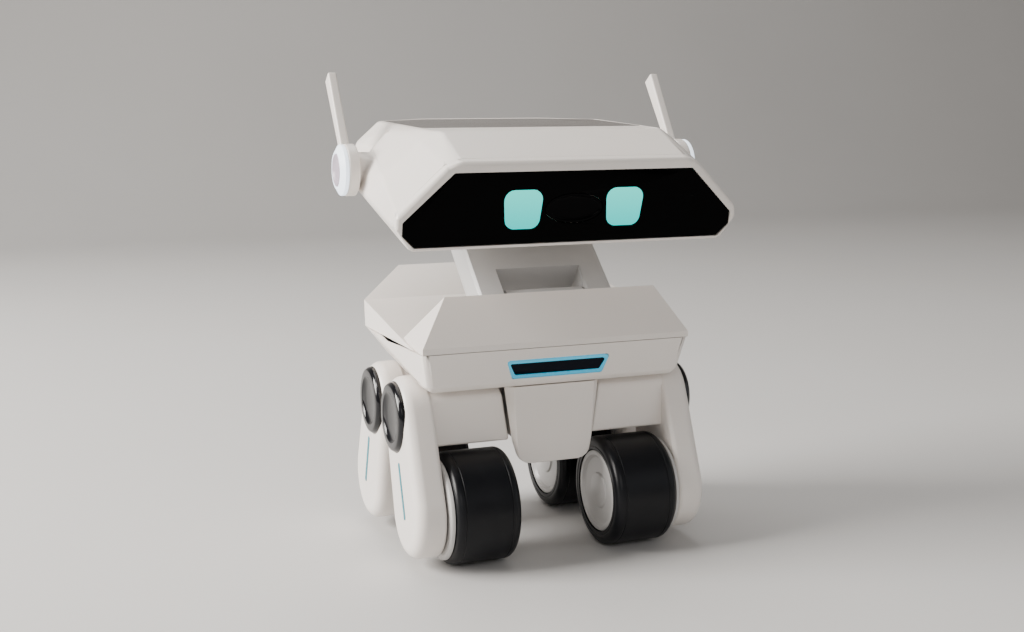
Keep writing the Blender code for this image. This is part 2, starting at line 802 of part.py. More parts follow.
def make_neck_arm():
    points = []
    for x in (-NECK_HALF, NECK_HALF):
        points += [(x, y, z) for y, z in circle(NECK_BASE, NECK_RADIUS, 20)]
        points += [(x, y, z) for y, z in circle(NECK_HEAD, NECK_RADIUS, 20)]
    slab = rounded(hull("neck", points), 1.3, 1, 40)
    notch = []
    for x, along in ((NECK_NOTCH_HALF, 12.0), (NECK_NOTCH_HALF + 1.6, 16.0)):
        above = 3.0 if along == 12.0 else NECK_RADIUS + 1
        for side in (-1, 1):
            for start, level in ((-20, above), (along, above)):
                notch.append((side * x, *neck_point(start, level)))
    low = [(side * NECK_NOTCH_HALF, *neck_point(a, -12)) for side in (-1, 1) for a in (-20, 12.0)]
    cut(slab, hull("notch", notch + low))
    top_gap = []
    for side in (-1, 1):
        for along in (neck_length() - 11, neck_length() + 20):
            for above in (-12, 12):
                top_gap.append((side * 15.0, *neck_point(along, above)))
    cut(slab, hull("servo_room", top_gap))
    hollow = []
    for side in (-1, 1):
        for along in (19.0, neck_length() - 14.5):
            for above in (-12, 4.6):
                hollow.append((side * (NECK_HALF - 3.0), *neck_point(along, above)))
    cut(slab, hull("channel", hollow))
    for spot in (NECK_BASE, NECK_HEAD):
        cut(slab, rod("pin_bore", (0, *spot), (1, 0, 0), PIN_RADIUS + GAP, 120, 16))
    return neck_piece(slab, "neck_arm", GREY)


def neck_length():
    return (Vector(NECK_HEAD) - Vector(NECK_BASE)).length


def neck_piece(obj, name, spec):
    obj.name = name
    obj.data.name = name
    return finish(obj, spec, "neck_lift", (0, *NECK_BASE))


def make_neck():
    make_neck_arm()
    neck_piece(rod("pin", (0, *NECK_BASE), (1, 0, 0), PIN_RADIUS, 2 * NECK_HALF - 1, 16), "neck_pin", STEEL)
    cover = []
    for side in (-1, 1):
        for along in (19.4, neck_length() - 14.9):
            for above in (-NECK_RADIUS, -NECK_RADIUS + 1.6):
                cover.append((side * (NECK_HALF - 3.4), *neck_point(along, above)))
    neck_piece(hull("cover", cover), "neck_cover", DARK_PLASTIC)
    bracket = make_neck_bracket()
    root(bracket, "neck_bracket", GREY)


def make_neck_bracket():
    """The hinge block that stands on the deck and fills the neck's notch."""
    half = NECK_NOTCH_HALF - 0.8
    base_y, base_z = NECK_BASE
    points = []
    for x in (-half, half):
        points += [(x, y, z) for y, z in circle(NECK_BASE, NECK_RADIUS - 1.4, 24)]
        for y in (base_y - 5.6, base_y + 9.0):
            points.append((x, y, max(NECK_FLOOR_Z, deck_z(y)) + GAP))
    bracket = hull("bracket", points)
    cut(bracket, rod("pin_bore", (0, *NECK_BASE), (1, 0, 0), PIN_RADIUS + GAP, 60, 16))
    return bracket


# ---------------------------------------------------------------------------------------------- head


def visor_y(z):
    return VISOR_Y - VISOR_LEAN * (z - VISOR_Z)


def visor_point(x, z, depth):
    """A point in the visor's plane, moved square to it into the head."""
    inward = Vector((0, 1, VISOR_LEAN)).normalized()
    return Vector((x, visor_y(z), z)) + inward * depth


def floor_z(y):
    return HEAD_FLOOR_Z + FLOOR_RISE * (y - HEAD_FLOOR_Y)


def roof_z(y):
    return ROOF_FRONT[2] + ROOF_RISE * (y - ROOF_FRONT[1])


def head_front_points():
    outline = ((55.5, 192.0), (61.6, 189.7), (83.9, 168.5), (84.4, 163.5), (77.0, HEAD_FLOOR_Z))
    points = [visor_point(x, z, 0) for x, z in outline]
    points += [
        ROOF_FRONT,
        (58.5, -33.0, roof_z(-33.0)),
        (63.5, -36.0, 201.6),
        (81.2, -31.0, 185.4),
        (84.0, -31.0, 170.4),
        (75.4, -31.0, floor_z(-31.0)),
        (60.3, HEAD_STEP_Y, roof_z(HEAD_STEP_Y)),
        (66.8, HEAD_STEP_Y, 204.8),
        (75.0, HEAD_STEP_Y, 196.4),
        (82.4, HEAD_STEP_Y, 185.4),
        (83.4, HEAD_STEP_Y, 178.6),
        (72.5, HEAD_STEP_Y, floor_z(HEAD_STEP_Y)),
    ]
    return mirrored(points)


def head_rear_points():
    points = [
        (60.3, HEAD_STEP_Y, roof_z(HEAD_STEP_Y)),
        (70.4, HEAD_STEP_Y, 196.4),
        (70.4, HEAD_STEP_Y, floor_z(HEAD_STEP_Y) + 7),
        (61.5, 46.0, roof_z(46.0)),
        (33.5, 65.0, roof_z(65.0)),
        (75.0, 43.5, 198.0),
        (72.0, 42.5, floor_z(42.5) + 4),
        (40.0, 67.5, 198.0),
        (62.0, 40.0, floor_z(40.0)),
        (62.0, HEAD_STEP_Y, floor_z(HEAD_STEP_Y)),
        (34.0, 61.0, floor_z(61.0)),
    ]
    return mirrored(points)


def head_block():
    """The whole head's outside as one solid."""
    solid = hull("head", head_front_points())
    join(solid, hull("head_rear", head_rear_points()))
    flatten(solid, 6.0)
    return rounded(solid, 1.6, 2, 6)


def visor_slab(name, start, end):
    """Everything between two depths behind the visor's plane."""
    points = []
    for x in (-120, 120):
        for z in (120, 240):
            points += [visor_point(x, z, start), visor_point(x, z, end)]
    return hull(name, points)


def floor_slab(name, lift, height):
    """Everything above a plane parallel to the head's floor."""
    points = []
    for x in (-120, 120):
        for y in (-120, 120):
            points += [(x, y, floor_z(y) + lift), (x, y, floor_z(y) + lift + height)]
    return hull(name, points)


def visor_solid(name, grow, start, end):
    """The visor's outline as a slab, from start to end behind the visor's plane."""
    half = [(x + grow, z + (grow if z > VISOR_Z else -grow)) for x, z in VISOR_OUTLINE]
    outline = half + [(-x, z) for x, z in reversed(half)]
    points = []
    for x, z in filleted(outline, 1.6 - grow):
        points += [visor_point(x, z, start), visor_point(x, z, end)]
    return hull(name, points)


def eye_solid(name, side, grow, start, end):
    """An eye's rounded shape, a little wider at the top."""
    top = EYE_TOP_WIDTH / 2 + grow
    low = EYE_BOTTOM_WIDTH / 2 + grow
    high = EYE_HEIGHT / 2 + grow
    centre = side * EYE_X
    outline = [(centre - top, EYE_Z + high), (centre + top, EYE_Z + high)]
    outline += [(centre + low, EYE_Z - high), (centre - low, EYE_Z - high)]
    points = []
    for x, z in filleted(outline, 4.6 + grow, 5):
        points += [visor_point(x, z, start), visor_point(x, z, end)]
    return hull(name, points)


def camera_solid(name, grow, start, end):
    points = []
    for k in range(32):
        t = 2 * math.pi * k / 32
        x = (CAMERA_WIDTH / 2 + grow) * math.cos(t)
        z = EYE_Z + (CAMERA_HEIGHT / 2 + grow) * math.sin(t)
        points += [visor_point(x, z, start), visor_point(x, z, end)]
    return hull(name, points)


def panel_solid(name, grow, top, bottom):
    """The roof panel's outline as a slab parallel to the roof."""
    half = list(PANEL_OUTLINE)
    outline = half + [(-x, y) for x, y in reversed(half)]
    middle = Vector((0, 18))
    points = []
    for x, y in filleted(outline, 4.0):
        away = (Vector((x, y)) - middle).normalized() * grow
        x += away.x
        y += away.y
        points += [(x, y, roof_z(y) + top), (x, y, roof_z(y) + bottom)]
    return hull(name, points)


def head_piece(obj, name, spec, smooth=35.0):
    obj.name = name
    obj.data.name = name
    return finish(obj, spec, "head_tilt", (0, *NECK_HEAD), smooth)


FLOOR_SPLIT = 4.2
NECK_SLOT = (-4.0, 53.0)


def make_head_shells():
    solid = head_block()
    bezel = copy_of(solid, "bezel")
    common(bezel, visor_slab("front_slab", -2, BEZEL_DEPTH))
    cut(bezel, visor_solid("window", GAP, -3, 10))
    head_piece(bezel, "visor_bezel", WHITE)

    inside_front = inset_hull("inside_front", head_front_points(), WALL)
    inside_rear = inset_hull("inside_rear", head_rear_points(), WALL)
    cut(solid, visor_slab("front", -20, BEZEL_DEPTH + GAP))
    passage = block("passage", (-64, 0, 174.0), (64, 22, 201.0))
    base = copy_of(solid, "base")
    cut(solid, inside_front, keep=True)
    cut(solid, inside_rear, keep=True)
    cut(solid, passage)
    cut(solid, floor_slab("floor_part", -60, 60 + FLOOR_SPLIT + GAP / 2))
    cut(solid, panel_solid("panel_recess", 0.25, 9, -PANEL_DEPTH - 0.2))
    for side in SIDES.values():
        boss = [(0, 84.6), (8.4, 84.6), (8.4, 68), (0, 68)]
        ear_boss = turned("ear_boss", boss, EAR_Y, EAR_Z, side, 28)
        join(solid, ear_boss)
        cut(solid, rod("ear_bore", (side * 78, EAR_Y, EAR_Z), (1, 0, 0), 3.3, 40, 16))
    head_piece(solid, "head_shell", WHITE)

    cut(base, floor_slab("upper_part", FLOOR_SPLIT - GAP / 2, 200))
    slot_low, slot_high = NECK_SLOT
    cut(base, block("neck_slot", (-NECK_HALF - 1.4, slot_low, 140), (NECK_HALF + 1.4, slot_high, 200)))
    cut(base, inside_front)
    cut(base, inside_rear)
    for side in SIDES.values():
        join(base, hinge_lug(side))
    cut(base, rod("pin_seats", (0, *NECK_HEAD), (1, 0, 0), PIN_RADIUS + GAP, 2 * NECK_HALF + 10, 16))
    head_piece(base, "head_base", WHITE)


def hinge_lug(side):
    """A lug beside the neck's top end, in the head's floor."""
    inner = side * (NECK_HALF + 1.5)
    outer = side * (NECK_HALF + 6.0)
    y, z = NECK_HEAD
    points = []
    for x in (inner, outer):
        points += [(x, y + 6.4 * math.cos(t), z + 6.4 * math.sin(t)) for t in steps_of_turn(20)]
        for reach in (-9.0, 9.0):
            points.append((x, y + reach, floor_z(y + reach) + 1.0))
    return hull("lug", points)


def steps_of_turn(count):
    return [2 * math.pi * k / count for k in range(count)]


def make_visor():
    glass = visor_solid("glass", 0.0, 0.5, 2.9)
    for side in SIDES.values():
        cut(glass, eye_solid("eye_hole", side, 0.2, -2, 5))
    cut(glass, camera_solid("camera_hole", 0.25, -2, 5))
    head_piece(glass, "visor_glass", BLACK_GLOSS)
    for side_name, side in SIDES.items():
        head_piece(eye_solid("eye", side, 0.0, 0.4, 3.4), f"eye_light_{side_name}", CYAN)
    camera = camera_solid("camera", 0.0, 0.6, 3.6)
    join(camera, block("sensor", (-8, -61.5, 166.0), (8, -52, 174.6)))
    head_piece(camera, "camera_module", BLACK_GLOSS)


def make_head_inside():
    servo = block("servo", (-13.0, 24.0, 176.5), (13.0, 44.0, 198.0))
    join(servo, rod("output", (0, 30.0, 188.0), (1, 0, 0), 4.0, 33, 20))
    head_piece(servo, "head_tilt_servo", DARK_PLASTIC)
    pin = rod("pin", (0, *NECK_HEAD), (1, 0, 0), PIN_RADIUS, 2 * NECK_HALF + 9, 16)
    head_piece(pin, "head_pin", STEEL)
    head_piece(panel_solid("panel", 0.0, 0.0, -PANEL_DEPTH), "roof_touch_panel", PANEL)


# ---------------------------------------------------------------------------------------------- ears


def make_ear_drum():
    profile = [
        (0, EAR_FACE_X - 1.2),
        (EAR_RADIUS - 0.4, EAR_FACE_X - 1.2),
        (EAR_RADIUS, EAR_FACE_X - 1.8),
        (EAR_RADIUS, EAR_INNER_X + 0.8),
        (EAR_RADIUS - 0.8, EAR_INNER_X),
        (3.0, EAR_INNER_X),
        (3.0, 62.0),
        (0, 62.0),
    ]
    drum = turned("drum", profile, EAR_Y, EAR_Z, 1, 28)
    cut(drum, hull("antenna_seat", antenna_points(0.3, 9.6)))
    return drum


def antenna_points(grow, root_reach):
    """The antenna's corners: it widens towards its flat-cut tip."""
    back = math.sin(ANTENNA_LEAN)
    up = math.cos(ANTENNA_LEAN)
    points = []
    for reach, width in ((root_reach, 4.8), (ANTENNA_LENGTH, 8.0)):
        thick = ANTENNA_THICK
        for x in (-thick / 2 - grow, thick / 2 + grow):
            for across in (-width / 2 - grow, width / 2 + grow):
                y = EAR_Y + back * reach + up * across
                z = EAR_Z + up * reach - back * across
                points.append((ANTENNA_X + x, y, z))
    return points


def make_ear_light():
    """A cone-shaped ring around the cap, in front of the drum."""
    back = EAR_FACE_X - 0.9
    profile = [(8.1, EAR_TIP_X - 0.2), (8.7, EAR_TIP_X - 0.2), (12.1, EAR_FACE_X + 0.5), (12.1, back), (8.1, back)]
    return turned("ring", profile, EAR_Y, EAR_Z, 1, 28)


def make_ear_cap():
    back = EAR_FACE_X - 0.9
    profile = [
        (0, EAR_TIP_X - 1.5),
        (5.2, EAR_TIP_X - 1.3),
        (6.8, EAR_TIP_X),
        (7.4, EAR_TIP_X),
        (7.8, EAR_TIP_X - 0.4),
        (7.8, back),
        (0, back),
    ]
    return turned("cap", profile, EAR_Y, EAR_Z, 1, 28)


def make_ear_motor():
    motor = block("motor", (45.0, EAR_Y - 7, EAR_Z - 7), (61.0, EAR_Y + 7, EAR_Z + 7))
    return rounded(motor, 1.0, 1)


def make_ears():
    builders = (
        ("ear_drum", make_ear_drum, WHITE, True),
        ("ear_light", make_ear_light, RING_WHITE, True),
        ("ear_cap", make_ear_cap, LAVENDER, True),
        ("antenna", lambda: rounded(hull("blade", antenna_points(0.0, 10.0)), 0.7, 2, 40), WHITE, True),
        ("ear_motor", make_ear_motor, DARK_PLASTIC, False),
    )
    for stem, build, spec, turns in builders:
        piece = build()
        twin = mirror_of(piece, "twin")
        for side_name, one in (("left", piece), ("right", twin)):
            one.name = f"{stem}_{side_name}"
            one.data.name = one.name
            side = SIDES[side_name]
            if turns:
                finish(one, spec, f"ear_turn_{side_name}", (side * EAR_INNER_X, EAR_Y, EAR_Z))
            else:
                head_piece(one, one.name, spec)


clear_scene()
ROBOT = make_collection("coding_robot")
WORK = make_collection("work")
make_legs()
make_chassis()
make_chin()
make_lower_shell()
make_upper_shell()
make_mouth()
make_body_inside()
make_rear_details()
make_neck()
make_head_shells()
make_visor()
make_head_inside()
make_ears()
bpy.data.collections.remove(WORK)
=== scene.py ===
import json
import math

import bmesh
import bpy
from mathutils import Matrix, Quaternion, Vector


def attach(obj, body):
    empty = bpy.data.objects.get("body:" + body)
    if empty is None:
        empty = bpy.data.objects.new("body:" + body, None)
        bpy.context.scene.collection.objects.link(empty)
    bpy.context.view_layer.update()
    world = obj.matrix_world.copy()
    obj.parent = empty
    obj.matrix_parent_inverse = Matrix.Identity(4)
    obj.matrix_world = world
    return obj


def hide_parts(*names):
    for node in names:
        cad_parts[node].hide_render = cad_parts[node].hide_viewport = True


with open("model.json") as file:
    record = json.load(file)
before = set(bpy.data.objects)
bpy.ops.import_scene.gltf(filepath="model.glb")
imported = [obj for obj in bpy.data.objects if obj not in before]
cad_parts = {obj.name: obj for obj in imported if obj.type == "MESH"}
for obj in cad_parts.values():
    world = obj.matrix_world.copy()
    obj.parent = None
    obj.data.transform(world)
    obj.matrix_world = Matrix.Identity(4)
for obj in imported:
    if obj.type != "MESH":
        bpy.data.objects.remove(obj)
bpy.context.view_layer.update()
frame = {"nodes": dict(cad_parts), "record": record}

MM = 0.001
GAP = 0.3
SIDES = {"left": 1, "right": -1}
ENDS = {"front": -1, "rear": 1}
NODE_BODY = {
    node: body
    for body, nodes in frame["record"]["behaviour"]["bodies"].items()
    for node in nodes
}
NODE_SLOT = {part["node"]: part["material_slot"] for part in frame["record"]["subparts"]}

# Sizes of the solids that are rebuilt finer here, in millimetres.
WHEEL_RADIUS = 27.0
TYRE_INNER_X = 24.5
TYRE_OUTER_X = 56.8
TYRE_BORE = 20.5
TYRE_SHOULDER = 3.6
HUB_FACE_X = 59.3
HUB_FLANGE_RADIUS = 24.4
AXLE_BORE_RADIUS = 3.3
AXLE_BORE_INNER_X = 30.0
AXLE_Y = 35.0
HIP_Y = 20.0
HIP_Z = 70.0
SHOULDER_RADIUS = 19.4
FOOT_RADIUS = 22.3
LEG_INNER_X = 60.0
LEG_OUTER_X = 74.6
LEG_OUTER_ROUND = 5.6
LEG_INNER_ROUND = 2.2
ARM_FRONT = 16.0
ARM_REAR = -14.6
ARM_FLOOR_Z = 57.4
ARM_INNER_LOW_X = 21.6
ARM_INNER_HIGH_X = 25.6
ARM_WALL = 2.4
ARM_SLOPE_HEIGHT = 26.5
HIP_CAP_RADIUS = 16.8
HIP_CAP_BASE_X = 70.4
HIP_CAP_FACE_X = 76.7
HIP_RECESS_RADIUS = 17.1
HIP_BORE_RADIUS = 3.3
HIP_SHAFT_RADIUS = 3.0
HIP_SHAFT_END_X = 13.0
LIGHT_STRIP = (2.6, 27.0, 1.6)
EAR_Y = 3.6
EAR_Z = 186.7
EAR_RADIUS = 12.4
EAR_INNER_X = 84.9
EAR_FACE_X = 91.4
EAR_TIP_X = 94.2
EAR_SEAT_X = EAR_FACE_X - 0.9
EAR_SHAFT_RADIUS = 3.0
EAR_SHAFT_END_X = 62.0
EAR_CAP_RADIUS = 7.8
EAR_RING_BORE = 8.1
ANTENNA_X = 88.0
ANTENNA_THICK = 4.4
ANTENNA_WIDTHS = (4.8, 8.0)
ANTENNA_LEAN = math.radians(34.9)
ANTENNA_LENGTH = 54.2
VISOR_Y = -64.5
VISOR_Z = 170.0
VISOR_LEAN = 0.21
EYE_X = 25.0
EYE_Z = 170.3
EYE_HEIGHT = 17.6
EYE_TOP_WIDTH = 19.2
EYE_BOTTOM_WIDTH = 16.0
CAMERA_WIDTH = 28.4
CAMERA_HEIGHT = 13.6

# The view: azimuth, pitch and roll in degrees, the place in metres.
VIEW_AZIMUTH = -20.9
VIEW_PITCH = 9.0
VIEW_ROLL = -0.3
VIEW_PLACE = (-0.2410, -0.6149, 0.2160)
VIEW_LENS = 46.41

# The studio's floor runs back and curves up into a wall, in metres.
FLOOR_FRONT = -3.0
FLOOR_BACK = 1.6
FLOOR_CURVE = 0.9
FLOOR_HALF_WIDTH = 4.0
FLOOR_DROP = 0.0004
WALL_TOP = 3.2
LIGHT_TARGET = (0, 0, 0.12)


# ---- materials


class Look:
    """A material's node tree, built a step at a time."""

    def __init__(self, name):
        self.material = bpy.data.materials.new(name)
        self.material.use_nodes = True
        self.tree = self.material.node_tree
        self.shader = self.tree.nodes["Principled BSDF"]
        self.place = self.node("ShaderNodeTexCoord").outputs["Object"]

    def node(self, kind, **settings):
        made = self.tree.nodes.new(kind)
        for key, value in settings.items():
            setattr(made, key, value)
        return made

    def link(self, source, target):
        self.tree.links.new(source, target)

    def colour_from(self, source):
        self.link(source, self.shader.inputs["Base Color"])

    def roughness_from(self, source):
        self.link(source, self.shader.inputs["Roughness"])

    def noise(self, scale, detail=3.0, roughness=0.55, stretch=(1, 1, 1)):
        mapping = self.node("ShaderNodeMapping")
        mapping.inputs["Scale"].default_value = stretch
        self.link(self.place, mapping.inputs["Vector"])
        texture = self.node("ShaderNodeTexNoise")
        texture.inputs["Scale"].default_value = scale
        texture.inputs["Detail"].default_value = detail
        texture.inputs["Roughness"].default_value = roughness
        self.link(mapping.outputs["Vector"], texture.inputs["Vector"])
        return texture.outputs["Fac"]

    def spread(self, source, low, high, from_low=0.3, from_high=0.7):
        span = self.node("ShaderNodeMapRange")
        span.inputs["From Min"].default_value = from_low
        span.inputs["From Max"].default_value = from_high
        span.inputs["To Min"].default_value = low
        span.inputs["To Max"].default_value = high
        self.link(source, span.inputs["Value"])
        return span.outputs["Result"]

    def blend(self, share, low, high):
        mix = self.node("ShaderNodeMix", data_type="RGBA")
        mix.inputs[6].default_value = (*low, 1.0)
        mix.inputs[7].default_value = (*high, 1.0)
        self.link(share, mix.inputs[0])
        return mix.outputs[2]

    def bumps(self, *layers):
        """Layers of (height, strength, distance) laid over each other."""
        normal = None
        for height, strength, distance in layers:
            bump = self.node("ShaderNodeBump")
            bump.inputs["Strength"].default_value = strength
            bump.inputs["Distance"].default_value = distance
            self.link(height, bump.inputs["Height"])
            if normal is not None:
                self.link(normal, bump.inputs["Normal"])
            normal = bump.outputs["Normal"]
        self.link(normal, self.shader.inputs["Normal"])

    def set(self, **sockets):
        for key, value in sockets.items():
            self.shader.inputs[key.replace("_", " ")].default_value = value
        return self


# How far moulded plastic strays from its mean shade and its mean roughness.
SHADE_CHANGE = 0.035
GLOSS_CHANGE = 0.035


def tinted(colour, factor):
    return tuple(min(1.0, c * factor) for c in colour)


def moulded(name, colour, roughness, coat=0.0, grain=0.05):
    """Moulded plastic: slow shade changes, a fine spark-eroded grain and slightly uneven gloss."""
    look = Look(name)
    slow = look.noise(14.0, 4.0)
    fine = look.noise(2600.0, 2.0)
    mid = look.noise(180.0, 3.0)
    low = tinted(colour, 1 - SHADE_CHANGE)
    high = tinted(colour, 1 + SHADE_CHANGE)
    look.colour_from(look.blend(look.spread(slow, 0, 1), low, high))
    look.roughness_from(look.spread(mid, roughness - GLOSS_CHANGE, roughness + GLOSS_CHANGE))
    look.bumps((mid, 0.04, 0.00012), (fine, grain, 0.00003))
    look.set(Coat_Weight=coat, Coat_Roughness=0.12, Specular_IOR_Level=0.5)
    return look.material


def shell_white():
    look = Look("shell_white")
    slow = look.noise(9.0, 4.0)
    mid = look.noise(120.0, 3.0)
    fine = look.noise(2400.0, 2.0)
    colour = look.blend(look.spread(slow, 0, 1), (0.785, 0.735, 0.69), (0.83, 0.785, 0.74))
    look.colour_from(colour)
    look.roughness_from(look.spread(mid, 0.30, 0.38))
    look.bumps((mid, 0.03, 0.0001), (fine, 0.05, 0.000025))
    look.set(Specular_IOR_Level=0.45, Coat_Weight=0.12, Coat_Roughness=0.2)
    look.set(Subsurface_Weight=0.06, Subsurface_Radius=(0.0016, 0.0012, 0.0009), Subsurface_Scale=1.0)
    return look.material


def glossy(name, colour, roughness, specular=0.5, coat=0.0):
    """A polished dark surface with faint smears and dust that lift its roughness here and there."""
    look = Look(name)
    smear = look.noise(22.0, 5.0, 0.62, (1, 1, 2.4))
    specks = look.noise(900.0, 1.0)
    high = tuple(c * 1.6 + 0.0004 for c in colour)
    look.colour_from(look.blend(look.spread(smear, 0, 1, 0.35, 0.8), colour, high))
    look.roughness_from(look.spread(smear, roughness, roughness + 0.05, 0.4, 0.85))
    look.bumps((specks, 0.012, 0.00002))
    look.set(Coat_Weight=coat, Coat_Roughness=0.03, Specular_IOR_Level=specular)
    return look.material


def rubber():
    look = Look("rubber")
    scuff = look.noise(60.0, 5.0, 0.6)
    grain = look.noise(1500.0, 3.0)
    wear = look.spread(scuff, 0, 1, 0.4, 0.75)
    colour = look.blend(wear, (0.0020, 0.0024, 0.0040), (0.0045, 0.0050, 0.0070))
    look.colour_from(colour)
    look.roughness_from(look.spread(scuff, 0.30, 0.42))
    look.bumps((scuff, 0.06, 0.00015), (grain, 0.12, 0.00004))
    look.set(Specular_IOR_Level=0.24)
    return look.material


def lamp(name, low, high, strength, span, base, roughness=0.25):
    """A glowing diffuser whose colour runs from low to high up a span of heights in metres."""
    look = Look(name)
    parts = look.node("ShaderNodeSeparateXYZ")
    look.link(look.place, parts.inputs["Vector"])
    ramp = look.spread(parts.outputs[2], 0, 1, *span)
    mottle = look.noise(420.0, 2.0)
    glow = look.blend(ramp, low, high)
    look.link(glow, look.shader.inputs["Emission Color"])
    look.colour_from(look.blend(mottle, tinted(base, 0.92), base))
    look.roughness_from(look.spread(mottle, roughness, roughness + 0.06))
    look.bumps((mottle, 0.02, 0.00003))
    look.set(Emission_Strength=strength, Specular_IOR_Level=0.15)
    return look.material


def steel():
    look = Look("steel")
    streaks = look.noise(260.0, 4.0, 0.6, (0.12, 1, 1))
    look.colour_from(look.blend(streaks, (0.46, 0.46, 0.47), (0.62, 0.62, 0.63)))
    look.roughness_from(look.spread(streaks, 0.22, 0.38))
    look.bumps((streaks, 0.05, 0.00004))
    look.set(Metallic=1.0)
    return look.material


def circuit():
    look = Look("circuit")
    cells = look.node("ShaderNodeTexVoronoi", feature="DISTANCE_TO_EDGE", distance="CHEBYCHEV")
    cells.inputs["Scale"].default_value = 260.0
    look.link(look.place, cells.inputs["Vector"])
    tracks = look.spread(cells.outputs["Distance"], 1, 0, 0.02, 0.06)
    look.colour_from(look.blend(tracks, (0.008, 0.075, 0.035), (0.03, 0.16, 0.07)))
    look.bumps((tracks, 0.2, 0.00005))
    look.set(Roughness=0.35, Coat_Weight=0.3)
    return look.material


WHITE = shell_white()
# The neck's mid grey is painted shade: it is darker than the white shell to stand in for the shadow the head
# casts over the neck and its bracket.
NECK_PAINTED_SHADE = moulded("neck_grey", (0.46, 0.46, 0.46), 0.36, coat=0.1)
RIM = moulded("rim_grey", (0.52, 0.51, 0.50), 0.32, coat=0.15)
DARK = moulded("dark_plastic", (0.020, 0.021, 0.024), 0.42, grain=0.12)
GLASS = glossy("visor_gloss", (0.0002, 0.0002, 0.0003), 0.07, 0.03)
CAP = glossy("hip_cap_gloss", (0.0016, 0.0018, 0.0030), 0.14, 0.35, 0.2)
PANEL = glossy("roof_panel_gloss", (0.060, 0.047, 0.040), 0.12, 0.6)
LENS = glossy("lens_gloss", (0.0003, 0.0003, 0.0005), 0.06, 0.04)
WINDOW = glossy("mouth_gloss", (0.0008, 0.002, 0.006), 0.12, 0.08)
RUBBER = rubber()
STEEL = steel()
CIRCUIT = circuit()
WRAP = moulded("battery_wrap", (0.03, 0.07, 0.22), 0.3, coat=0.4)
LAVENDER = moulded("ear_cap_lavender", (0.43, 0.37, 0.44), 0.38, coat=0.15)
EYE_SPAN = ((EYE_Z - EYE_HEIGHT / 2) * MM, (EYE_Z + EYE_HEIGHT / 2) * MM)
EYE = lamp("eye_glow", (0.0, 0.74, 0.70), (0.06, 1.0, 0.86), 1.35, EYE_SPAN, (0.0, 0.02, 0.02))
MOUTH_SPAN = (0.089, 0.098)
STRIP_SPAN = (0.02, 0.05)
RING_SPAN = (0.17, 0.2)
MOUTH = lamp("mouth_glow", (0.04, 0.42, 0.66), (0.10, 0.54, 0.78), 0.85, MOUTH_SPAN, (0.02, 0.12, 0.16))
STRIP = lamp("strip_glow", (0.01, 0.16, 0.20), (0.03, 0.24, 0.30), 0.8, STRIP_SPAN, (0.02, 0.14, 0.17))
RING = lamp("ring_glow", (0.72, 0.84, 1.0), (0.84, 0.92, 1.0), 1.6, RING_SPAN, (0.7, 0.75, 0.8))

SLOT_LOOK = {
    "warm_white_shell": WHITE,
    "neck_grey": NECK_PAINTED_SHADE,
    "gloss_black": GLASS,
    "cap_black": CAP,
    "tyre_rubber": RUBBER,
    "dark_plastic": DARK,
    "rim_grey": RIM,
    "steel": STEEL,
    "cyan_light": EYE,
    "teal_strip": STRIP,
    "ring_light": RING,
    "ear_cap_lavender": LAVENDER,
    "smoked_panel": PANEL,
    "circuit_board": CIRCUIT,
    "battery_wrap": WRAP,
}


# ---- mesh helpers


def object_of(name, bm, scale=MM):
    """A scene object from a bmesh in millimetres."""
    bmesh.ops.scale(bm, vec=(scale, scale, scale), verts=bm.verts)
    bmesh.ops.recalc_face_normals(bm, faces=bm.faces)
    mesh = bpy.data.meshes.new(name)
    bm.to_mesh(mesh)
    bm.free()
    obj = bpy.data.objects.new(name, mesh)
    bpy.context.scene.collection.objects.link(obj)
    return obj


def hull(name, points):
    bm = bmesh.new()
    for point in points:
        bm.verts.new(point)
    bmesh.ops.remove_doubles(bm, verts=bm.verts, dist=0.004)
    found = bmesh.ops.convex_hull(bm, input=bm.verts)
    loose = set(found["geom_interior"]) | set(found["geom_unused"])
    bmesh.ops.delete(bm, geom=[v for v in loose if isinstance(v, bmesh.types.BMVert)], context="VERTS")
    bmesh.ops.dissolve_limit(bm, angle_limit=math.radians(0.15), verts=bm.verts, edges=bm.edges)
    return object_of(name, bm)


def turned(name, profile, y, z, side, steps=72):
    """A profile of (radius, |x|) pairs turned about the X-parallel axis at y, z."""
    bm = bmesh.new()
    rings = []
    for radius, x in profile:
        if radius < 0.001:
            rings.append([bm.verts.new((side * x, y, z))])
            continue
        turns = [2 * math.pi * k / steps for k in range(steps)]
        spots = [(side * x, y + radius * math.cos(t), z + radius * math.sin(t)) for t in turns]
        rings.append([bm.verts.new(spot) for spot in spots])
    closed = len(rings[0]) > 1
    pairs = list(zip(rings, rings[1:])) + ([(rings[-1], rings[0])] if closed else [])
    for one, two in pairs:
        if len(one) == len(two) == 1:
            continue
        for k in range(steps):
            n = (k + 1) % steps
            corners = [one[k % len(one)], one[n % len(one)], two[n % len(two)], two[k % len(two)]]
            unique = list(dict.fromkeys(corners))
            if len(unique) > 2:
                bm.faces.new(unique)
    return object_of(name, bm)


def bake(obj):
    bpy.context.view_layer.update()
    graph = bpy.context.evaluated_depsgraph_get()
    mesh = bpy.data.meshes.new_from_object(obj.evaluated_get(graph))
    old = obj.data
    obj.modifiers.clear()
    obj.data = mesh
    bpy.data.meshes.remove(old)
    return obj


def combine(obj, other, operation):
    modifier = obj.modifiers.new(operation, "BOOLEAN")
    modifier.operation = operation
    modifier.object = other
    bake(obj)
    bpy.data.objects.remove(other, do_unlink=True)
    return obj


def cut(obj, other):
    return combine(obj, other, "DIFFERENCE")


def rounded(obj, width, segments=3, angle=30.0):
    modifier = obj.modifiers.new("edges", "BEVEL")
    modifier.width = width * MM
    modifier.segments = segments
    modifier.limit_method = "ANGLE"
    modifier.angle_limit = math.radians(angle)
    return bake(obj)


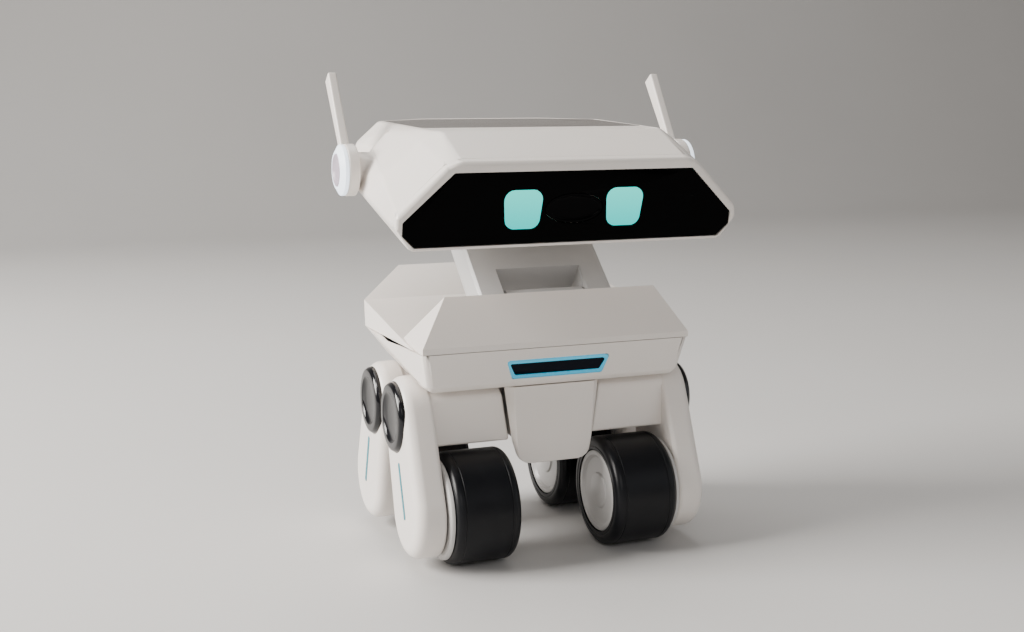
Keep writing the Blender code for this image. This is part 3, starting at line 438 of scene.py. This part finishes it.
def shade(obj, smooth):
    """Smooth shading up to an angle in degrees, with flat faces kept flat."""
    obj.data.shade_smooth()
    obj.data.set_sharp_from_angle(angle=math.radians(smooth))
    modifier = obj.modifiers.new("normals", "WEIGHTED_NORMAL")
    modifier.keep_sharp = True
    modifier.weight = 50


def stand_for(obj, node, material, smooth):
    """The finer piece takes the CAD node's place, body and finish."""
    shade(obj, smooth)
    obj.data.materials.clear()
    obj.data.materials.append(material)
    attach(obj, NODE_BODY[node])
    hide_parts(node)


def refined(node, material, smooth=24.0):
    """The node's own shape with smooth rounded edges between flat facets."""
    bm = bmesh.new()
    bm.from_mesh(frame["nodes"][node].data)
    bmesh.ops.remove_doubles(bm, verts=bm.verts, dist=0.000002)
    obj = object_of(f"{node}_skin", bm, 1.0)
    stand_for(obj, node, material, smooth)


def mirror_of(obj, name):
    twin = bpy.data.objects.new(name, obj.data.copy())
    bpy.context.scene.collection.objects.link(twin)
    twin.data.transform(Matrix.Scale(-1, 4, (1, 0, 0)))
    twin.data.flip_normals()
    return twin


def arc(radius, start, end, steps):
    """(along, across) offsets of an arc between two angles in degrees."""
    turns = [math.radians(start + (end - start) * k / steps) for k in range(steps + 1)]
    return [(radius * math.cos(t), radius * math.sin(t)) for t in turns]


# ---- legs and wheels


def leg_line(end):
    return (end * HIP_Y, HIP_Z), (end * AXLE_Y, WHEEL_RADIUS)


def circle(centre, radius, count=64):
    turns = [2 * math.pi * k / count for k in range(count)]
    return [(centre[0] + radius * math.cos(t), centre[1] + radius * math.sin(t)) for t in turns]


def leg_plate(end):
    """The leg's outer plate: two discs and the web between them, with rounded rims."""
    hip, axle = leg_line(end)
    points = []
    steps = 6
    for k in range(steps + 1):
        angle = math.pi / 2 * k / steps
        outer_x = LEG_OUTER_X - LEG_OUTER_ROUND * (1 - math.cos(angle))
        outer_in = LEG_OUTER_ROUND * (1 - math.sin(angle))
        inner_x = LEG_INNER_X + LEG_INNER_ROUND * (1 - math.cos(angle))
        inner_in = LEG_INNER_ROUND * (1 - math.sin(angle))
        for x, shrink in ((outer_x, outer_in), (inner_x, inner_in)):
            points += [(x, y, z) for y, z in circle(hip, SHOULDER_RADIUS - shrink)]
            points += [(x, y, z) for y, z in circle(axle, FOOT_RADIUS - shrink)]
    return hull("leg", points)


def arm_section(inset, steps=20):
    """The arm's outline about the hip, as (forward of the hip, above the hip)."""
    front = ARM_FRONT - inset
    rear = ARM_REAR + inset
    floor = ARM_FLOOR_Z - HIP_Z + inset
    radius = SHOULDER_RADIUS - 0.6 - inset
    first = -math.asin(-rear / radius)
    last = math.asin(front / radius)
    turns = [first + (last - first) * k / steps for k in range(steps + 1)]
    top = [(radius * math.sin(t), radius * math.cos(t)) for t in turns]
    return [(front, floor), (rear, floor)] + top


def arm_points(end, inset, inner, outer_x):
    points = []
    for forward, up in arm_section(inset):
        y = end * (HIP_Y + forward)
        z = HIP_Z + up
        share = (z - ARM_FLOOR_Z) / ARM_SLOPE_HEIGHT
        x = ARM_INNER_LOW_X + (ARM_INNER_HIGH_X - ARM_INNER_LOW_X) * share + inner
        points += [(x, y, z), (outer_x, y, z)]
    return points


def strip_points(end, grow):
    """The light strip's round-ended outline, low on the line from the hip to the axle."""
    hip, axle = (Vector(p) for p in leg_line(end))
    along = (axle - hip).normalized()
    across = Vector((-along.y, along.x))
    middle = hip.lerp(axle, 0.78)
    half_width = LIGHT_STRIP[0] / 2 + grow
    half_length = LIGHT_STRIP[1] / 2 + grow
    points = []
    for k in range(28):
        t = 2 * math.pi * k / 28
        tip = half_length - half_width if math.sin(t) > 0 else half_width - half_length
        spot = middle + along * (tip + half_width * math.sin(t)) + across * half_width * math.cos(t)
        points += [
            (LEG_OUTER_X - LIGHT_STRIP[2] - grow, spot.x, spot.y),
            (LEG_OUTER_X + (0.15 if grow == 0 else 1.0), spot.x, spot.y),
        ]
    return points


def make_leg_shell(end):
    hip, axle = leg_line(end)
    shell = leg_plate(end)
    bar = rounded(hull("arm", arm_points(end, 0.0, 0.0, LEG_INNER_X + 4)), 1.4, 4, 30)
    combine(shell, bar, "UNION")
    cut(shell, hull("arm_inside", arm_points(end, ARM_WALL, -3.0, LEG_INNER_X + 2)))
    recess = HIP_CAP_BASE_X - GAP
    wide = HIP_RECESS_RADIUS
    cut(shell, turned("recess", [(0, 90), (wide, 90), (wide, recess), (0, recess)], *hip, 1))
    hip_bore = HIP_BORE_RADIUS
    axle_bore = AXLE_BORE_RADIUS
    cut(shell, turned("bore", [(0, 90), (hip_bore, 90), (hip_bore, 40), (0, 40)], *hip, 1, 32))
    axle_hole = [(0, 69.5), (axle_bore, 69.5), (axle_bore, 57), (0, 57)]
    cut(shell, turned("axle_bore", axle_hole, *axle, 1, 32))
    cut(shell, hull("strip_slot", strip_points(end, 0.25)))
    return shell


def make_hip_cap(end):
    """A glossy cap with a raised lip around a shallow dish, and its shaft."""
    hip, _ = leg_line(end)
    face = HIP_CAP_FACE_X
    profile = [(0, face - 2.0), (4.0, face - 1.95), (8.0, face - 1.72), (10.6, face - 1.35)]
    profile += [(12.6 + a, face - 0.75 + b) for a, b in arc(0.75, 160, 90, 4)]
    profile += [(15.0, face), (15.5 + 0.4, face - 0.35)]
    profile += [(HIP_CAP_RADIUS - 0.9 + a, face - 1.5 - 0.9 + b + 0.5) for a, b in arc(0.9, 55, 0, 4)]
    profile += [(HIP_CAP_RADIUS, HIP_CAP_BASE_X), (HIP_SHAFT_RADIUS, HIP_CAP_BASE_X)]
    profile += [(HIP_SHAFT_RADIUS, HIP_SHAFT_END_X), (0, HIP_SHAFT_END_X)]
    return turned("cap", profile, *hip, 1, 96)


def make_tyre(end):
    """A smooth tyre with round shoulders and a fine groove beside each of them."""
    _, axle = leg_line(end)
    round_by = TYRE_SHOULDER
    inner = TYRE_INNER_X
    outer = TYRE_OUTER_X
    side = [(TYRE_BORE, outer), (TYRE_BORE + 1.2, outer), (TYRE_BORE + 1.5, outer - 0.25)]
    side += [(TYRE_BORE + 1.9, outer - 0.25), (TYRE_BORE + 2.2, outer)]
    corner = WHEEL_RADIUS - round_by
    side += [(corner + a, outer - round_by + b) for a, b in arc(round_by, 90, 8, 9)]
    side += [(WHEEL_RADIUS, outer - round_by - 0.6), (WHEEL_RADIUS - 0.22, outer - round_by - 0.9)]
    side += [(WHEEL_RADIUS - 0.22, outer - round_by - 1.2), (WHEEL_RADIUS, outer - round_by - 1.5)]
    middle = (inner + outer) / 2
    back = [(radius, 2 * middle - x) for radius, x in reversed(side)]
    return turned("tyre", side + back, *axle, 1, 112)


def make_wheel_hub(end):
    """The drum inside the tyre: a flange outside it, a dished face on the inner side and a bore."""
    _, axle = leg_line(end)
    seat = TYRE_BORE - GAP
    back = TYRE_INNER_X
    flange = HUB_FLANGE_RADIUS
    bore = AXLE_BORE_RADIUS
    profile = [(0, AXLE_BORE_INNER_X), (bore, AXLE_BORE_INNER_X), (bore, HUB_FACE_X)]
    profile += [(22.4, HUB_FACE_X), (23.4, 59.1), (24.1, 58.6), (flange, 57.9)]
    profile += [(flange, TYRE_OUTER_X + GAP), (seat, TYRE_OUTER_X + GAP), (seat, back + 1.2)]
    profile += [(19.9, back + 0.6), (19.2, back + 0.4), (17.8, back + 0.5), (16.4, back + 1.9)]
    profile += [(9.0, back + 2.0), (8.4, back + 1.2), (6.0, back + 0.9), (0, back + 0.9)]
    return turned("hub", profile, *axle, 1, 96)


def make_legs():
    builders = (
        ("leg_shell", make_leg_shell, WHITE, 40.0),
        ("hip_cap", make_hip_cap, CAP, 40.0),
        ("tyre", make_tyre, RUBBER, 30.0),
        ("wheel_hub", make_wheel_hub, RIM, 30.0),
        ("leg_light", lambda end: hull("strip", strip_points(end, 0.0)), STRIP, 30.0),
    )
    for end_name, end in ENDS.items():
        for stem, build, material, smooth in builders:
            piece = build(end)
            twin = mirror_of(piece, "twin")
            for side_name, one in (("left", piece), ("right", twin)):
                node = f"{stem}_{end_name}_{side_name}"
                one.name = f"{node}_skin"
                stand_for(one, node, material, smooth)


# ---- ears


def antenna_points(grow, root_reach):
    back = math.sin(ANTENNA_LEAN)
    up = math.cos(ANTENNA_LEAN)
    points = []
    for reach, width in zip((root_reach, ANTENNA_LENGTH), ANTENNA_WIDTHS):
        for x in (-ANTENNA_THICK / 2 - grow, ANTENNA_THICK / 2 + grow):
            for across in (-width / 2 - grow, width / 2 + grow):
                y = EAR_Y + back * reach + up * across
                z = EAR_Z + up * reach - back * across
                points.append((ANTENNA_X + x, y, z))
    return points


def make_ear_drum():
    radius = EAR_RADIUS
    profile = [(0, EAR_FACE_X - 1.2), (radius - 0.4, EAR_FACE_X - 1.2)]
    profile += [(radius - 0.9 + a, EAR_FACE_X - 2.1 + b) for a, b in arc(0.9, 70, 0, 4)]
    profile += [(radius - 0.9 + a, EAR_INNER_X + 0.9 + b) for a, b in arc(0.9, 0, -90, 4)]
    profile += [(EAR_SHAFT_RADIUS, EAR_INNER_X), (EAR_SHAFT_RADIUS, EAR_SHAFT_END_X)]
    profile.append((0, EAR_SHAFT_END_X))
    drum = turned("drum", profile, EAR_Y, EAR_Z, 1, 96)
    return cut(drum, hull("antenna_seat", antenna_points(0.3, 9.6)))


def make_ear_light():
    tip = EAR_TIP_X - 0.2
    profile = [(EAR_RING_BORE, tip - 0.2), (8.3, tip), (8.7, tip), (9.1, tip - 0.2), (12.0, EAR_FACE_X + 0.7)]
    profile += [(12.15, EAR_FACE_X + 0.4), (12.1, EAR_SEAT_X), (EAR_RING_BORE, EAR_SEAT_X)]
    return turned("ring", profile, EAR_Y, EAR_Z, 1, 96)


def make_ear_cap():
    tip = EAR_TIP_X
    profile = [(0, tip - 1.5), (3.0, tip - 1.45), (5.2, tip - 1.2), (6.3, tip - 0.4)]
    profile += [(6.8, tip - 0.05), (7.1, tip), (7.5, tip - 0.12)]
    profile += [(EAR_CAP_RADIUS, tip - 0.5), (EAR_CAP_RADIUS, EAR_SEAT_X), (0, EAR_SEAT_X)]
    return turned("cap", profile, EAR_Y, EAR_Z, 1, 80)


def make_antenna():
    return rounded(hull("blade", antenna_points(0.0, 10.0)), 0.9, 4, 40)


def make_ears():
    builders = (
        ("ear_drum", make_ear_drum, WHITE),
        ("ear_light", make_ear_light, RING),
        ("ear_cap", make_ear_cap, LAVENDER),
        ("antenna", make_antenna, WHITE),
    )
    for stem, build, material in builders:
        piece = build()
        twin = mirror_of(piece, "twin")
        for side_name, one in (("left", piece), ("right", twin)):
            node = f"{stem}_{side_name}"
            one.name = f"{node}_skin"
            stand_for(one, node, material, 38.0)


# ---- face


def visor_point(x, z, depth):
    inward = Vector((0, 1, VISOR_LEAN)).normalized()
    return Vector((x, VISOR_Y - VISOR_LEAN * (z - VISOR_Z), z)) + inward * depth


def filleted(outline, radius, steps):
    """A convex outline with an arc at each corner."""
    result = []
    count = len(outline)
    for i in range(count):
        corner = Vector(outline[i])
        before = (Vector(outline[i - 1]) - corner).normalized()
        after = (Vector(outline[(i + 1) % count]) - corner).normalized()
        half = before.angle(after) / 2
        reach = radius / math.tan(half)
        centre = corner + (before + after).normalized() * (radius / math.sin(half))
        start = (corner + before * reach - centre).normalized()
        end = (corner + after * reach - centre).normalized()
        for k in range(steps + 1):
            result.append(centre + start.slerp(end, k / steps) * radius)
    return result


def eye_outline(side, grow):
    top = EYE_TOP_WIDTH / 2 + grow
    low = EYE_BOTTOM_WIDTH / 2 + grow
    high = EYE_HEIGHT / 2 + grow
    centre = side * EYE_X
    corners = [(centre - top, EYE_Z + high), (centre + top, EYE_Z + high)]
    corners += [(centre + low, EYE_Z - high), (centre - low, EYE_Z - high)]
    return filleted(corners, 4.6 + grow, 12)


def make_eye(side):
    points = []
    for x, z in eye_outline(side, 0.0):
        points += [visor_point(x, z, 0.55), visor_point(x, z, 3.4)]
    for x, z in eye_outline(side, -0.25):
        points.append(visor_point(x, z, 0.4))
    return hull("eye", points)


def oval(width, height, count=64):
    turns = [2 * math.pi * k / count for k in range(count)]
    return [(width / 2 * math.cos(t), EYE_Z + height / 2 * math.sin(t)) for t in turns]


def make_camera():
    """The oval window: a rim around a sunk face that steps down towards its middle."""
    bm = bmesh.new()
    steps = (
        (CAMERA_WIDTH, CAMERA_HEIGHT, 3.6),
        (CAMERA_WIDTH, CAMERA_HEIGHT, 0.75),
        (CAMERA_WIDTH - 0.5, CAMERA_HEIGHT - 0.5, 0.5),
        (CAMERA_WIDTH - 2.0, CAMERA_HEIGHT - 2.0, 0.5),
        (CAMERA_WIDTH - 2.8, CAMERA_HEIGHT - 2.8, 0.9),
        (CAMERA_WIDTH - 4.0, CAMERA_HEIGHT - 3.6, 1.1),
        (CAMERA_WIDTH - 11.0, CAMERA_HEIGHT - 6.0, 1.2),
    )
    rings = [[bm.verts.new(visor_point(x, z, depth)) for x, z in oval(w, h)] for w, h, depth in steps]
    for one, two in zip(rings, rings[1:]):
        for k in range(len(one)):
            n = (k + 1) % len(one)
            bm.faces.new((one[k], one[n], two[n], two[k]))
    bm.faces.new(rings[-1])
    bm.faces.new(list(reversed(rings[0])))
    return object_of("camera_window", bm)


def make_face():
    for side_name, side in SIDES.items():
        eye = make_eye(side)
        eye.name = f"eye_{side_name}_skin"
        stand_for(eye, f"eye_light_{side_name}", EYE, 40.0)
    camera = make_camera()
    stand_for(camera, "camera_module", LENS, 30.0)


# ---- carried-over solids


def dress_nodes():
    """Smooth skins for the visible casings, and a finish for every node that is carried over."""
    head_skins = ("head_shell", "head_base", "visor_bezel")
    body_skins = ("body_upper_shell", "body_lower_shell", "chin_cover", "chassis_spine")
    for node in head_skins + body_skins:
        refined(node, WHITE)
    # The neck arm and its bracket take the neck's grey, which is painted shade from the head above them.
    refined("neck_arm", NECK_PAINTED_SHADE)
    refined("neck_bracket", NECK_PAINTED_SHADE)
    refined("visor_glass", GLASS, 30.0)
    refined("roof_touch_panel", PANEL, 30.0)
    refined("mouth_window", WINDOW, 30.0)
    refined("mouth_light_frame", MOUTH, 30.0)
    for node, obj in frame["nodes"].items():
        look = SLOT_LOOK[NODE_SLOT[node]]
        obj.data.materials.clear()
        obj.data.materials.append(look)


# ---- stage


def add_camera():
    data = bpy.data.cameras.new("camera")
    data.sensor_width = 36.0
    data.lens = VIEW_LENS
    data.clip_start = 0.01
    camera = bpy.data.objects.new("camera", data)
    bpy.context.scene.collection.objects.link(camera)
    azimuth = math.radians(VIEW_AZIMUTH)
    pitch = math.radians(VIEW_PITCH)
    level = math.cos(pitch)
    forward = Vector((-math.sin(azimuth) * level, math.cos(azimuth) * level, -math.sin(pitch)))
    camera.location = VIEW_PLACE
    camera.rotation_mode = "QUATERNION"
    roll = Quaternion((0, 0, 1), math.radians(VIEW_ROLL))
    camera.rotation_quaternion = forward.to_track_quat("-Z", "Y") @ roll
    bpy.context.scene.camera = camera


def add_light(name, place, size, power, colour):
    data = bpy.data.lights.new(name, "AREA")
    data.shape = "RECTANGLE"
    data.size, data.size_y = size
    data.energy = power
    data.color = colour
    light = bpy.data.objects.new(name, data)
    light.location = place
    light.rotation_mode = "QUATERNION"
    light.rotation_quaternion = (Vector(LIGHT_TARGET) - Vector(place)).to_track_quat("-Z", "Y")
    bpy.context.scene.collection.objects.link(light)


def add_stage():
    bm = bmesh.new()
    curve = FLOOR_CURVE
    turns = [math.pi / 2 * k / 24 for k in range(1, 25)]
    profile = [(FLOOR_FRONT, 0.0), (FLOOR_BACK, 0.0)]
    profile += [(FLOOR_BACK + curve * math.sin(t), curve - curve * math.cos(t)) for t in turns]
    profile.append((FLOOR_BACK + curve, WALL_TOP))
    ends = (-FLOOR_HALF_WIDTH, FLOOR_HALF_WIDTH)
    rows = [[bm.verts.new((x, y, z - FLOOR_DROP)) for y, z in profile] for x in ends]
    for k in range(len(profile) - 1):
        bm.faces.new((rows[0][k], rows[1][k], rows[1][k + 1], rows[0][k + 1]))
    floor = object_of("studio_floor", bm, 1.0)
    floor.data.shade_smooth()
    look = Look("pale_floor")
    mottle = look.noise(3.0, 4.0)
    look.colour_from(look.blend(mottle, (0.60, 0.59, 0.58), (0.64, 0.63, 0.62)))
    look.set(Roughness=0.5, Specular_IOR_Level=0.3)
    floor.data.materials.append(look.material)
    world = bpy.data.worlds.new("studio")
    world.use_nodes = True
    background = world.node_tree.nodes["Background"]
    background.inputs["Color"].default_value = (0.95, 0.91, 0.87, 1.0)
    background.inputs["Strength"].default_value = 0.26
    bpy.context.scene.world = world
    add_light("key", (-1.6, 0.25, 0.85), (0.9, 0.9), 84.0, (1.0, 0.965, 0.92))
    add_light("fill", (1.2, -1.1, 0.6), (1.2, 1.0), 3.0, (0.93, 0.96, 1.0))
    add_light("top", (-0.1, 0.5, 1.6), (1.2, 0.9), 14.0, (1.0, 0.98, 0.95))
    add_light("front", (-0.5, -1.6, 0.95), (1.0, 0.6), 5.0, (1.0, 0.975, 0.95))


make_legs()
make_ears()
make_face()
dress_nodes()
add_camera()
add_stage()
